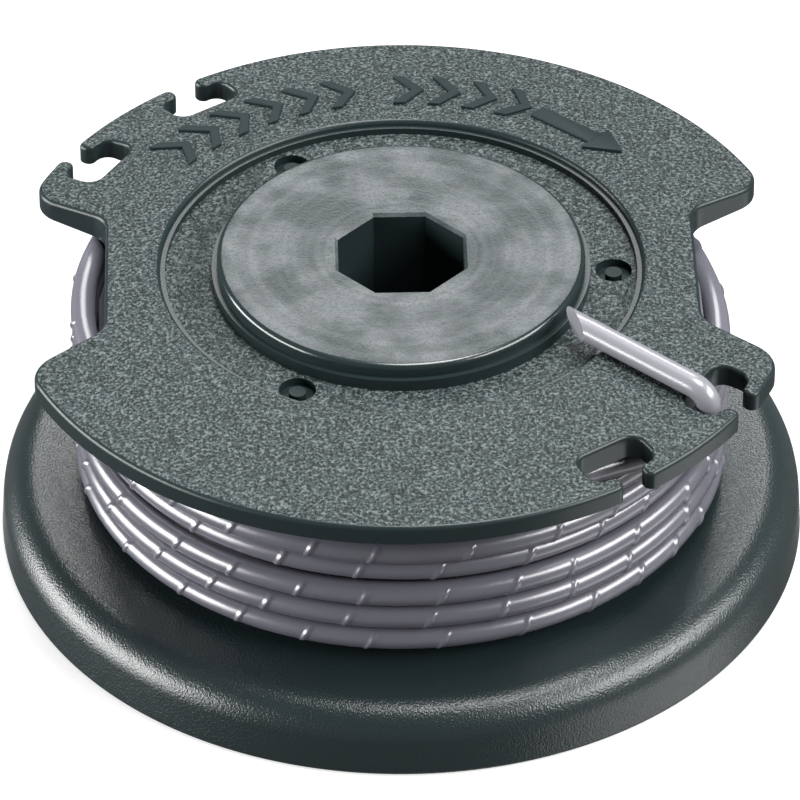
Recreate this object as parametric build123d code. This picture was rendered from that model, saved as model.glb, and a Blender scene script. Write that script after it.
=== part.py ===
from build123d import *
from math import cos, hypot, radians, sin, tan
import os

# Trimmer line spool: one moulded spool body with a winding of nylon line on its drum.
# Millimetres, +Z up through the boss, origin at the centre of the base's underside.
# The two side notches of the top flange lie on the X axis.

# Base flange
BASE_OVERHANG = 0.7         # the base reaches this far past the top flange
BASE_DRAFT = 0.3            # the rim's side leans in by this much over its height
BASE_HEIGHT = 4.7           # underside to the rim's shoulder
BASE_RISE = 0.6             # the top face climbs this much from the shoulder to the drum
BASE_SHOULDER = 2.4         # rounding of the shoulder
RIM_WALL = 1.9
PLATE_THICKNESS = 2.1       # base plate under the winding, measured at the rim

# Drum and hub
DRUM_RADIUS = 13.5
DRUM_WALL = 1.8
HUB_RADIUS = 7.6
FOOT_GAP = 0.9              # hub, drum and ribs stop this far above the ground
SOCKET_FLATS = 8.2          # eight-sided drive socket, across flats
SOCKET_SIDES = 8
SOCKET_LEAD_IN = 0.2        # chamfer of the socket's mouth

# Top flange
CHAMBER_HEIGHT = 13.4       # base plate to top flange, at the drum
FLANGE_RADIUS = 26.0
FLANGE_THICKNESS = 1.3      # at the rim
FLANGE_RISE = 1.05          # the top face climbs this much from the rim to the recess
FLANGE_EDGE = 0.3
RECESS_RADIUS = 15.7
RECESS_DEPTH = 0.95
RECESS_LEDGE = 0.3          # small step half way down the recess wall
BOSS_RADIUS = 12.0
BOSS_HEIGHT = 0.8           # boss face above the recess's edge
BOSS_STEP = 0.35            # wider foot of the boss
BOSS_STEP_HEIGHT = 0.8
SOFT_EDGE = 0.4             # rounding of the recess's edge and of the boss

# Side notches of the top flange
NOTCH_DEPTH = 6.7
NOTCH_FLOOR = 11.8          # width along the floor
NOTCH_FLARE = 34.0          # degrees from the notch's own axis
NOTCH_CORNER = 2.0
NOTCH_TIP = 2.2

# Line slots in the top flange's rim, a pair on each side
LINE_DIAMETER = 1.6
SLOT_ANGLES = (-56.5, -33.0)
SLOT_INSET = 2.4            # rim to the middle of the slot's bulb
SLOT_SHOULDER = 1.5         # how far the bulb reaches past the mouth on each side
SLOT_PLAY = 0.9             # bulb width over the line's diameter
MOUTH_PLAY = 0.2            # mouth width over the line's diameter
SLOT_CORNER = 0.5           # rounding of the mouth, outside and inside
BULB_CORNER = 0.9

# Gate marks in the recess
GATE_COUNT = 3
GATE_DIAMETER = 2.4
GATE_DEPTH = 0.6
GATE_NUB = 1.1
GATE_NUB_HEIGHT = 0.45

# Ribs on the underside
HUB_RIBS = 6
PLATE_RIBS = 12
RIB_THICKNESS = 1.4
RIB_SINK = 0.5              # how far a rib's ends run into the walls that it joins

# Winding and tail of the line
WINDING_DEPTH = 8.1         # drum to the crest of the rows
WINDING_CLEARANCE = 0.1
ROW_LOOSENESS = 1.12        # row pitch over line diameter, at least
TAIL_CLEARANCE = 0.05
TAIL_BEND = 1.3             # bend radius at the slot
TAIL_SLOT_SHIFT = -3.7      # degrees from the slot's middle to where the tail rises
TAIL_SLOT_OUT = 0.4         # and outwards from the slot's middle
TAIL_TIP_GAP = 0.9          # tail's end to the boss's foot
TAIL_LEAD = 26.0            # degrees of rim from the last full turn to the slot

# Levels and places that follow from these
base_radius = FLANGE_RADIUS + BASE_OVERHANG
base_top = BASE_HEIGHT + BASE_RISE
plate_under = BASE_HEIGHT - PLATE_THICKNESS
flange_under = base_top + CHAMBER_HEIGHT
flange_top = flange_under + FLANGE_THICKNESS
recess_edge = flange_top + FLANGE_RISE
recess_floor = recess_edge - RECESS_DEPTH
boss_top = recess_edge + BOSS_HEIGHT
boss_foot = BOSS_RADIUS + BOSS_STEP
core_roof = flange_under
drum_bore = DRUM_RADIUS - DRUM_WALL
rim_bore = base_radius - RIM_WALL
slot_radius = FLANGE_RADIUS - SLOT_INSET
slot_width = LINE_DIAMETER + SLOT_PLAY
mouth_width = LINE_DIAMETER + MOUTH_PLAY
slot_turns = [angle + turn for turn in (0, 180) for angle in SLOT_ANGLES]
cone_slope = FLANGE_RISE / (FLANGE_RADIUS - RECESS_RADIUS)


def at_angle(radius, angle, z=0.0):
    """Point at a radius and an angle in degrees about the spool's axis."""
    return Vector(radius * cos(radians(angle)), radius * sin(radians(angle)), z)


def flange_face_height(radius):
    """Height of the top flange's conical face at a radius."""
    return flange_top + cone_slope * (FLANGE_RADIUS - radius)


def rounded(face, corners, radius):
    """Round the corners of a flat face that lie at the given points."""
    chosen = [min(face.vertices(), key=lambda v: (Vector(v) - Vector(c)).length) for c in corners]
    return fillet(chosen, radius)


def spool_section():
    """Half section of the spool body in the XZ plane, from the axis outwards."""
    shoulder = (base_radius - BASE_DRAFT, BASE_HEIGHT)
    ledge_level = recess_edge - RECESS_DEPTH / 2
    ledge_radius = RECESS_RADIUS - RECESS_LEDGE
    step_level = recess_floor + BOSS_STEP_HEIGHT
    outline = [
        (0, FOOT_GAP), (HUB_RADIUS, FOOT_GAP), (HUB_RADIUS, core_roof), (drum_bore, core_roof),
        (drum_bore, FOOT_GAP), (DRUM_RADIUS, FOOT_GAP), (DRUM_RADIUS, plate_under),
        (rim_bore, plate_under), (rim_bore, 0), (base_radius, 0), shoulder,
        (DRUM_RADIUS, base_top), (DRUM_RADIUS, flange_under), (FLANGE_RADIUS, flange_under),
        (FLANGE_RADIUS, flange_top), (RECESS_RADIUS, recess_edge), (RECESS_RADIUS, ledge_level),
        (ledge_radius, ledge_level), (ledge_radius, recess_floor), (boss_foot, recess_floor),
        (boss_foot, step_level), (BOSS_RADIUS, step_level), (BOSS_RADIUS, boss_top), (0, boss_top),
    ]
    face = make_face(Plane.XZ * Polyline(*outline, close=True))
    face = rounded(face, [(shoulder[0], 0, shoulder[1])], BASE_SHOULDER)
    soft = [(RECESS_RADIUS, 0, recess_edge), (BOSS_RADIUS, 0, boss_top)]
    face = rounded(face, soft, SOFT_EDGE)
    foot = [(base_radius, 0, 0), (rim_bore, 0, 0)]
    drum = [(DRUM_RADIUS, 0, base_top), (DRUM_RADIUS, 0, flange_under)]
    return rounded(face, foot + drum, FLANGE_EDGE)


def notch():
    """One flared side notch, open past the rim, on the +X side."""
    floor_x = FLANGE_RADIUS - NOTCH_DEPTH
    mouth_x = floor_x + NOTCH_DEPTH * 1.5
    half = NOTCH_FLOOR / 2
    wide = half + (mouth_x - floor_x) * tan(radians(NOTCH_FLARE))
    corners = [(floor_x, -half), (floor_x, half)]
    face = make_face(Polyline(*corners, (mouth_x, wide), (mouth_x, -wide), close=True))
    return rounded(face, corners, NOTCH_CORNER)


def line_slot(angle):
    """One line slot: a bulb along the rim with a narrow mouth outwards."""
    bulb_length = mouth_width + 2 * SLOT_SHOULDER
    bulb = Pos(slot_radius, 0) * RectangleRounded(slot_width, bulb_length, BULB_CORNER)
    mouth = Pos(FLANGE_RADIUS, 0) * Rectangle(2 * SLOT_INSET, mouth_width)
    return Rot(0, 0, angle) * (bulb + mouth)


def flange_outline():
    """Outline of the top flange with its notches and line slots, corners rounded."""
    face = Sketch() + Circle(FLANGE_RADIUS)
    face -= [Rot(0, 0, turn) * notch() for turn in (0, 180)]
    face -= [line_slot(angle) for angle in slot_turns]

    def in_mouth(vertex):
        places = [Vector(vertex).rotate(Axis.Z, -angle) for angle in slot_turns]
        return any(p.X > slot_radius and abs(p.Y) < mouth_width / 2 + 0.001 for p in places)

    def at_notch(vertex):
        return hypot(vertex.X, vertex.Y) > FLANGE_RADIUS - 0.001 and not in_mouth(vertex)

    face = fillet([v for v in face.vertices() if at_notch(v)], NOTCH_TIP)
    return fillet([v for v in face.vertices() if in_mouth(v)], SLOT_CORNER)


def radial_ribs(count, inner, outer, low, high, first_angle=0.0):
    """Upright ribs between two round walls on the underside."""
    length = outer - inner + 2 * RIB_SINK
    height = high - low + 2 * RIB_SINK
    rib = Pos((inner + outer) / 2, 0, (low + high) / 2) * Box(length, RIB_THICKNESS, height)
    rib -= Pos(0, 0, low - RIB_SINK) * Box(4 * outer, 4 * outer, 2 * RIB_SINK)
    return [Rot(0, 0, first_angle + 360 / count * k) * rib for k in range(count)]


def spool_body():
    """The moulded body: base, drum, hub and top flange in one piece."""
    body = revolve(spool_section(), Axis.Z)

    cut_height = boss_top - flange_under + 2 * WINDING_CLEARANCE
    waste = Circle(FLANGE_RADIUS * 1.2) - flange_outline()
    body -= extrude(Pos(0, 0, flange_under - WINDING_CLEARANCE) * waste, cut_height)
    top_face = body.faces().filter_by(GeomType.CONE).filter_by(
        lambda f: flange_top < f.center().Z < recess_edge).sort_by(SortBy.AREA)[-1]
    body = fillet(top_face.outer_wire().edges(), FLANGE_EDGE)

    body += radial_ribs(HUB_RIBS, HUB_RADIUS, drum_bore, FOOT_GAP, core_roof, 360 / HUB_RIBS / 2)
    body += radial_ribs(PLATE_RIBS, DRUM_RADIUS, rim_bore, FOOT_GAP, plate_under)

    half_turn = 180 / SOCKET_SIDES
    socket = RegularPolygon(SOCKET_FLATS / 2, SOCKET_SIDES, major_radius=False, rotation=half_turn)
    body -= extrude(socket, boss_top)
    boss_face = body.faces().sort_by(Axis.Z)[-1]
    body = chamfer(boss_face.inner_wires()[0].edges(), SOCKET_LEAD_IN)

    gate_radius = (boss_foot + RECESS_RADIUS - RECESS_LEDGE) / 2
    for k in range(GATE_COUNT):
        spot = Pos(*at_angle(gate_radius, 360 / GATE_COUNT * k, recess_floor - GATE_DEPTH))
        rising = (Align.CENTER, Align.CENTER, Align.MIN)
        body -= spot * Cylinder(GATE_DIAMETER / 2, GATE_DEPTH * 2, align=rising)
        body += spot * Cylinder(GATE_NUB / 2, GATE_NUB_HEIGHT, align=rising)
    return body


def winding():
    """The wound line: one solid of revolution with a round ridge for each row of turns."""
    bottom = base_top + WINDING_CLEARANCE
    height = CHAMBER_HEIGHT - 2 * WINDING_CLEARANCE
    rows = int(height // (LINE_DIAMETER * ROW_LOOSENESS))
    pitch = height / rows
    inner = DRUM_RADIUS + WINDING_CLEARANCE + FLANGE_EDGE
    crest = DRUM_RADIUS + WINDING_DEPTH
    half = LINE_DIAMETER / 2
    profile = Curve()
    last = Vector(inner, 0, bottom)
    for row in range(rows):
        level = bottom + pitch * (row + 0.5)
        foot = Vector(crest - half, 0, level - half)
        head = Vector(crest - half, 0, level + half)
        profile += Line(last, foot)
        profile += ThreePointArc(foot, Vector(crest, 0, level), head)
        last = head
    top = Vector(inner, 0, bottom + height)
    profile += Polyline(last, top, Vector(inner, 0, bottom))
    return revolve(make_face(profile), Axis.Z), crest - half, bottom + pitch * (rows - 0.5)


def tail_route(row_radius, row_level):
    """Points of the tail: off the top row, up through a slot and in over the top face."""
    rise_angle = SLOT_ANGLES[-1] + TAIL_SLOT_SHIFT
    rise_radius = slot_radius + TAIL_SLOT_OUT
    tip_radius = boss_foot + TAIL_TIP_GAP
    lie = LINE_DIAMETER / 2 + TAIL_CLEARANCE
    return [
        at_angle(row_radius, rise_angle - TAIL_LEAD, row_level),
        at_angle(rise_radius, rise_angle, flange_under - 1.1 * TAIL_BEND),
        at_angle(rise_radius, rise_angle, flange_face_height(rise_radius) + lie),
        at_angle(tip_radius, rise_angle, flange_face_height(tip_radius) + lie),
    ]


def trimmer_line():
    """The line: its winding and the tail that is parked in a slot."""
    coil, row_radius, row_level = winding()
    route = FilletPolyline(*tail_route(row_radius, row_level), radius=TAIL_BEND)
    tail = sweep((route ^ 0) * Circle(LINE_DIAMETER / 2), path=route)
    return coil + tail


os.makedirs("parts", exist_ok=True)
for name, solid in (("spool_body", spool_body()), ("trimmer_line", trimmer_line())):
    export_step(solid, f"parts/{name}.step")
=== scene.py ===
"""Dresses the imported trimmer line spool: its moulded body, its marks, the wound line and a plain stage."""

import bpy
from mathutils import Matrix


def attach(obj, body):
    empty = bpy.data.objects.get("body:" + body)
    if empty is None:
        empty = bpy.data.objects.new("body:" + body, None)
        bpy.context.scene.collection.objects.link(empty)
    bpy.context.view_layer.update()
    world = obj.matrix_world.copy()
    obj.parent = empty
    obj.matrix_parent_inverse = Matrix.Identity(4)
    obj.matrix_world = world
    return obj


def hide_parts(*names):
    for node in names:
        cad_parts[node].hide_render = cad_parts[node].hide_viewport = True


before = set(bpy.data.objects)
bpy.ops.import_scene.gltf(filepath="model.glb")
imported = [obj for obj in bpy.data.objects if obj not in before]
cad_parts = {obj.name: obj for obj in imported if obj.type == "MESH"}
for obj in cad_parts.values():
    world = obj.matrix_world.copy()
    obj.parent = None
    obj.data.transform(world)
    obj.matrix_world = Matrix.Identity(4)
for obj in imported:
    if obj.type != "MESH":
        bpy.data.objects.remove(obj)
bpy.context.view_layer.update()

import bisect
import math

import bpy
from bpy.props import FloatProperty, FloatVectorProperty, IntProperty, PointerProperty
from mathutils import Matrix, Quaternion, Vector, noise

bl_info = {
    "name": "Trimmer Line Spool",
    "version": (2, 0, 0),
    "blender": (4, 5, 0),
    "location": "View3D > Sidebar > Spool",
    "description": "Finishes the moulded spool, winds the cutting line on it and sets the stage",
    "category": "Add Mesh",
}

MM = 0.001
BODY_TOP = max(corner[2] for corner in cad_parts["spool_body"].bound_box)


# Settings


def length_property(name, description, default):
    """A length in metres."""
    return FloatProperty(name=name, description=description, default=default, unit="LENGTH")


def angle_property(name, description, default):
    """An angle in radians."""
    return FloatProperty(name=name, description=description, default=default, subtype="ANGLE")


def colour_property(name, description, default):
    """A colour as red, green, blue and alpha."""
    return FloatVectorProperty(name=name, description=description, default=default, subtype="COLOR", size=4)


class SpoolBodySettings(bpy.types.PropertyGroup):
    """Sizes of the moulded body; heights count from the ground."""

    base_radius: length_property("Base radius", "Radius of the base at the ground", 26.7 * MM)
    base_draft: length_property("Base draft", "How far the base's side leans in", 0.3 * MM)
    base_height: length_property("Base height", "Height of the base's shoulder", 4.7 * MM)
    base_shoulder: length_property("Base shoulder", "Rounding of the base's shoulder", 2.4 * MM)
    base_top: length_property("Base top", "Height of the base's face at the drum", 5.3 * MM)
    rim_bore: length_property("Rim bore", "Inner radius of the base's rim", 24.8 * MM)
    plate_under: length_property("Plate underside", "Height of the base plate's underside", 2.6 * MM)
    foot: length_property("Foot", "Height at which drum, hub and ribs end", 0.9 * MM)
    drum_radius: length_property("Drum radius", "Outer radius of the drum", 13.5 * MM)
    drum_bore: length_property("Drum bore", "Inner radius of the drum", 11.7 * MM)
    hub_radius: length_property("Hub radius", "Radius of the hub in the drum", 7.6 * MM)
    socket_flats: length_property("Socket", "Drive socket across its flats", 8.2 * MM)
    socket_lead_in: length_property("Socket lead-in", "Chamfer of the socket's mouth", 0.2 * MM)
    boss_top: length_property("Boss top", "Height of the boss's face", BODY_TOP)
    boss_radius: length_property("Boss radius", "Radius of the boss", 12.0 * MM)
    boss_foot: length_property("Boss foot", "Radius of the boss's wider foot", 12.35 * MM)
    boss_step: length_property("Boss step", "Height of the boss's foot above the recess", 0.8 * MM)
    recess_radius: length_property("Recess radius", "Radius of the recess round the boss", 15.7 * MM)
    recess_ledge: length_property("Recess ledge", "Small step half way down the recess's wall", 0.3 * MM)
    recess_floor: length_property("Recess floor", "Height of the recess's floor", BODY_TOP - 1.75 * MM)
    flange_radius: length_property("Flange radius", "Radius of the top flange", 26.0 * MM)
    flange_top: length_property("Flange top", "Height of the top flange's rim", BODY_TOP - 1.85 * MM)
    flange_thickness: length_property("Flange thickness", "Wall of the top flange at its rim", 1.3 * MM)
    flange_slope: FloatProperty(
        name="Flange slope", description="Rise of the flange's face for each metre inwards",
        default=1.05 / 10.3)
    edge: length_property(
        "Edge", "Rounding of the flange's rim, the drum's ends and the base's foot", 0.3 * MM)
    soft_edge: length_property("Soft edge", "Rounding of the boss and the recess", 0.4 * MM)
    gate_diameter: length_property("Gate mark", "Diameter of a gate mark in the recess", 2.4 * MM)
    gate_depth: length_property("Gate depth", "Depth of a gate mark", 0.6 * MM)
    gate_nub: length_property("Gate nub", "Diameter of the nub in a gate mark", 1.1 * MM)
    rib: length_property("Rib", "Thickness of the ribs underneath", 1.4 * MM)
    hub_ribs: IntProperty(name="Hub ribs", description="Ribs between hub and drum", default=6, min=1)
    plate_ribs: IntProperty(name="Plate ribs", description="Ribs under the base plate", default=12, min=1)
    segments: IntProperty(name="Segments", description="Facets round the spool", default=240, min=24)


class SpoolOutlineSettings(bpy.types.PropertyGroup):
    """Sizes of the notches and the line slots in the top flange."""

    notch_depth: length_property("Notch depth", "Rim to the notch's floor", 6.7 * MM)
    notch_floor: length_property("Notch floor", "Width of the notch's floor", 11.8 * MM)
    notch_flare: angle_property("Notch flare", "Lean of the notch's flanks", math.radians(34))
    notch_corner: length_property("Notch corner", "Rounding at the notch's floor", 2.0 * MM)
    notch_tip: length_property("Notch tip", "Rounding where the notch meets the rim", 2.2 * MM)
    slot_angles: FloatVectorProperty(
        name="Slot angles", description="Where one side's two slots lie", size=2, subtype="EULER",
        default=(math.radians(123.5), math.radians(147.0)))
    slot_inset: length_property("Slot inset", "Rim to the middle of a slot's bulb", 2.4 * MM)
    slot_width: length_property("Slot width", "Bulb from inside to outside", 2.5 * MM)
    slot_length: length_property("Slot length", "Bulb along the rim", 4.8 * MM)
    slot_mouth: length_property("Slot mouth", "Width of a slot's mouth", 1.8 * MM)
    slot_lip: length_property("Slot lip", "Rounding of a slot's mouth", 0.5 * MM)
    slot_corner: length_property("Slot corner", "Rounding of a slot's bulb", 0.9 * MM)
    seam: length_property("Seam", "Radius inside which the flange is round", 17.6 * MM)


class SpoolMarkSettings(bpy.types.PropertyGroup):
    """Sizes of the raised marks that show which way the line is wound."""

    radius: length_property("Radius", "Middle of the chevrons", 19.5 * MM)
    height: length_property("Height", "How far a mark stands up", 0.22 * MM)
    sink: length_property("Sink", "How far a mark goes into the face", 0.1 * MM)
    span: length_property("Span", "Chevron across its arms", 3.5 * MM)
    point: length_property("Point", "How far a chevron's point leads", 1.3 * MM)
    stroke: length_property("Stroke", "Width of a chevron's arm", 0.8 * MM)
    pitch: angle_property("Pitch", "Angle from one chevron to the next", math.radians(7.4))
    first: angle_property("First run", "Where the first run of chevrons starts", math.radians(139.5))
    first_count: IntProperty(name="First count", description="Chevrons in the first run", default=6, min=1)
    second: angle_property("Second run", "Where the second run of chevrons starts", math.radians(89.0))
    second_count: IntProperty(
        name="Second count", description="Chevrons in the second run", default=4, min=1)
    arrow_radius: length_property("Arrow radius", "Middle of the arrow", 18.9 * MM)
    arrow_angle: angle_property("Arrow angle", "Where the arrow lies", math.radians(49.5))
    arrow_length: length_property("Arrow length", "Arrow from end to tip", 7.2 * MM)
    arrow_shaft: length_property("Arrow shaft", "Width of the arrow's shaft", 1.35 * MM)
    arrow_head: length_property("Arrow head", "Width of the arrow's head", 3.0 * MM)


class SpoolLineSettings(bpy.types.PropertyGroup):
    """Sizes of the wound line and its parked tail."""

    diameter: length_property("Line diameter", "Thickness of the cutting line", 1.6 * MM)
    first_radius: length_property("First layer", "Radius of the first layer's centre line", 14.33 * MM)
    last_radius: length_property("Last layer", "Radius of the last layer's centre line", 20.8 * MM)
    bottom_row: length_property("Bottom row", "Height of the lowest row", 6.35 * MM)
    top_row: length_property("Top row", "Height of the highest row", 17.7 * MM)
    layers: IntProperty(name="Layers", description="Layers of turns on the drum", default=5, min=2)
    rows: IntProperty(
        name="Rows", description="Turns in each odd layer; the others nest between", default=7, min=2)
    row_lift: FloatVectorProperty(
        name="Row lift", size=7, unit="LENGTH",
        description="How far each row of the last layer lies above its even place, from the bottom",
        default=(0.4 * MM, 0.26 * MM, 0.17 * MM, 0.18 * MM, -0.12 * MM, -0.26 * MM, 0.0))
    row_tuck: FloatVectorProperty(
        name="Row tuck", size=7, unit="LENGTH",
        description="How far each row of the last layer has slipped inwards, from the bottom",
        default=(0.0, 0.0, 0.0, 0.4 * MM, 0.0, 0.0, 0.0))
    wander: length_property("Wander", "How far a turn strays from its place", 0.08 * MM)
    ridge_pitch: length_property("Ridge pitch", "Length of line from one small ridge to the next", 4.7 * MM)
    ridge_width: length_property("Ridge width", "Width of a ridge along the line", 0.48 * MM)
    ridge_height: length_property("Ridge height", "How far a ridge stands up", 0.11 * MM)
    ridge_stray: FloatProperty(
        name="Ridge stray", description="How uneven the ridges' pitch is", default=0.5)
    ridge_slant: FloatProperty(
        name="Ridge slant", description="How far a ridge runs along the line as it crosses it", default=0.5)
    sides: IntProperty(name="Sides", description="Facets round the line", default=24, min=8)
    rise_angle: angle_property(
        "Rise angle", "Where the tail comes up through its slot", math.radians(-36.7))
    rise_radius: length_property("Rise radius", "Radius at which the tail comes up", 24.0 * MM)
    bend: length_property("Bend", "Bend radius at the slot", 1.3 * MM)
    tip_radius: length_property("Tip radius", "Middle of the tail's slanted cut", 13.65 * MM)
    tip_slant: FloatProperty(name="Tip slant", description="Slant of the cut through the tail", default=1.5)


class SpoolFinishSettings(bpy.types.PropertyGroup):
    """Colours of the moulding and the line."""

    moulding: colour_property("Moulding", "Black of the smooth walls", (0.011, 0.018, 0.019, 1.0))
    eroded: colour_property("Eroded face", "Grey of the grained faces", (0.028, 0.04, 0.041, 1.0))
    pits: colour_property("Pits", "Darker grey in the grain's pits", (0.006, 0.009, 0.009, 1.0))
    crests: colour_property("Crests", "Paler grey on the grain's crests", (0.1, 0.115, 0.115, 1.0))
    # Partly painted sheen: the boss's face is painted greyer, partly for its wear and partly for the
    # brighter reflection of its smooth face.
    wear_and_sheen: colour_property("Rubbed boss", "Grey of the boss's worn face", (0.085, 0.094, 0.098, 1.0))
    # Painted shade: the wound line's grey is painted darker than the tail's, for the flange's shade on the
    # winding.
    line: colour_property("Line", "Grey of the nylon line", (0.1, 0.1, 0.122, 1.0))
    # Painted light: the tail is painted paler than the wound line, for the open light above the flange.
    tail: colour_property("Tail", "Grey of the line's free end", (0.18, 0.18, 0.2, 1.0))


class SpoolStageSettings(bpy.types.PropertyGroup):
    """Place of the camera and strength of the lamps."""

    aim: FloatVectorProperty(
        name="Aim", description="Point that the camera looks at", subtype="TRANSLATION", size=3,
        default=(-0.08 * MM, 0.006 * MM, 9.58 * MM))
    distance: length_property("Distance", "Camera to the aim", 459.4 * MM)
    azimuth: angle_property("Azimuth", "Turn of the camera about the spool", math.radians(-1.464))
    elevation: angle_property("Elevation", "Camera above the horizon", math.radians(38.40))
    roll: angle_property("Roll", "Tilt of the picture", math.radians(-0.07))
    lens: FloatProperty(name="Lens", description="Focal length", default=312.42, unit="CAMERA")
    back_power: FloatProperty(name="Back power", description="Watts of the back lamp", default=4.8)
    top_power: FloatProperty(name="Top power", description="Watts of the lamp overhead", default=8.6)
    left_power: FloatProperty(name="Left power", description="Watts of the left lamp", default=13.0)
    right_power: FloatProperty(name="Right power", description="Watts of the right lamp", default=10.0)
    ambient: FloatProperty(name="Ambient", description="Strength of the studio's own light", default=0.03)
    glow: FloatProperty(name="Glow", description="Strength of the studio in reflections", default=0.15)


# Shared helpers


def polar(radius, angle, z):
    """Point at a radius and an angle in radians about the spool's axis."""
    return Vector((radius * math.cos(angle), radius * math.sin(angle), z))


def ease(t):
    """Smooth step from 0 to 1."""
    t = min(max(t, 0.0), 1.0)
    return t * t * (3 - 2 * t)


def face_height(body, radius):
    """Height of the top flange's conical face at a radius."""
    return body.flange_top + body.flange_slope * (body.flange_radius - radius)


def flange_underside(body):
    """Height of the top flange's flat underside."""
    return body.flange_top - body.flange_thickness


def pick(piece):
    """Select one object alone and make it active."""
    bpy.ops.object.select_all(action="DESELECT")
    piece.select_set(True)
    bpy.context.view_layer.objects.active = piece


def edit_chosen(piece, kind, test):
    """Open edit mode with only those points, edges or faces of a piece selected that pass a test."""
    pick(piece)
    bpy.ops.object.mode_set(mode="EDIT")
    bpy.ops.mesh.select_mode(type=kind)
    bpy.ops.mesh.select_all(action="DESELECT")
    bpy.ops.object.mode_set(mode="OBJECT")
    mesh = piece.data
    for part in {"VERT": mesh.vertices, "EDGE": mesh.edges, "FACE": mesh.polygons}[kind]:
        part.select = test(part)
    bpy.ops.object.mode_set(mode="EDIT")


def extrude(x, y, z):
    """Extrude what is selected in edit mode and move it."""
    bpy.ops.mesh.extrude_region_move(TRANSFORM_OT_translate={"value": (x, y, z)})


def mend_mesh(piece, angle, merge=0.0001 * MM):
    """Merge doubled points, turn the faces outwards and smooth all but the sharper edges."""
    pick(piece)
    bpy.ops.object.mode_set(mode="EDIT")
    bpy.ops.mesh.select_all(action="SELECT")
    bpy.ops.mesh.remove_doubles(threshold=merge)
    bpy.ops.mesh.normals_make_consistent(inside=False)
    bpy.ops.object.mode_set(mode="OBJECT")
    bpy.ops.object.shade_smooth_by_angle(angle=angle)


def apply_modifier(piece, kind, **values):
    """Add a modifier with these values and apply it."""
    pick(piece)
    made = piece.modifiers.new(kind.lower(), kind)
    for key, value in values.items():
        setattr(made, key, value)
    bpy.ops.object.modifier_apply(modifier=made.name)


def mesh_object(name, points, edges, faces):
    """A new mesh object at the origin."""
    mesh = bpy.data.meshes.new(name)
    mesh.from_pydata(points, edges, faces)
    piece = bpy.data.objects.new(name, mesh)
    bpy.context.collection.objects.link(piece)
    return piece


def tube_faces(count, loops):
    """Four-sided faces between loops of as many points each, from one loop to the next."""
    return [(low + k, low + (k + 1) % count, low + count + (k + 1) % count, low + count + k)
            for low in range(0, count * (loops - 1), count) for k in range(count)]


def block(size, place, turn=0.0):
    """A box of a size about a place, turned about its upright axis, with its place in its mesh."""
    bpy.ops.object.select_all(action="DESELECT")
    bpy.ops.mesh.primitive_cube_add(size=1.0)
    piece = bpy.context.active_object
    piece.scale = size
    piece.location = place
    piece.rotation_euler.z = turn
    bpy.ops.object.transform_apply(location=True, rotation=True, scale=True)
    return piece


def upright(radius, bottom, top, place, sides=40, turn=0.0):
    """A round or many-sided pin from one height to another, with its place in its mesh."""
    bpy.ops.object.select_all(action="DESELECT")
    bpy.ops.mesh.primitive_cylinder_add(
        vertices=sides, radius=radius, depth=top - bottom, location=(place.x, place.y, (bottom + top) / 2),
        rotation=(0, 0, turn))
    piece = bpy.context.active_object
    bpy.ops.object.transform_apply(location=True, rotation=True, scale=True)
    return piece


# Materials

# Sockets of a Mix node that mixes colours
MIX_MASK, MIX_FIRST, MIX_SECOND, MIX_RESULT = 0, 6, 7, 2


def node(tree, kind, place, inputs=None, **values):
    """Add a node; its inputs are set by name or number, and values are its properties."""
    made = tree.nodes.new(kind)
    made.location = place
    for key, value in values.items():
        setattr(made, key, value)
    for key, value in (inputs or {}).items():
        made.inputs[key].default_value = value
    return made


def feed(tree, socket, value):
    """Link a socket to another one, or set it to a plain value."""
    if isinstance(value, bpy.types.NodeSocket):
        tree.links.new(value, socket)
    else:
        socket.default_value = value


def math_node(tree, operation, place, *values):
    """A Math node whose inputs are sockets or numbers."""
    made = node(tree, "ShaderNodeMath", place, operation=operation)
    for socket, value in zip(made.inputs, values):
        feed(tree, socket, value)
    return made.outputs[0]


def mix_colour(tree, place, mask, first, second):
    """A colour mix whose colours are sockets or plain colours."""
    made = node(tree, "ShaderNodeMix", place, data_type="RGBA")
    for number, value in ((MIX_MASK, mask), (MIX_FIRST, first), (MIX_SECOND, second)):
        feed(tree, made.inputs[number], value)
    return made.outputs[MIX_RESULT]


def band(tree, place, value, low, high):
    """A mask that goes from 0 to 1 as a value goes from low to high."""
    limits = {"From Min": low, "From Max": high}
    made = node(tree, "ShaderNodeMapRange", place, limits, interpolation_type="SMOOTHSTEP")
    tree.links.new(value, made.inputs["Value"])
    return made.outputs[0]


def own_place(tree):
    """The shaded point in the piece's own coordinates."""
    return node(tree, "ShaderNodeTexCoord", (-1100, 0)).outputs["Object"]


def new_material(name, roughness, specular):
    """A material with plain roughness and specular level."""
    material = bpy.data.materials.new(name)
    material.use_nodes = True
    shader = material.node_tree.nodes["Principled BSDF"]
    shader.inputs["Roughness"].default_value = roughness
    shader.inputs["Specular IOR Level"].default_value = specular
    return material


def paint(tree, colour):
    """Give a material's shader a plain base colour, or link it to one."""
    feed(tree, tree.nodes["Principled BSDF"].inputs["Base Color"], colour)


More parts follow.
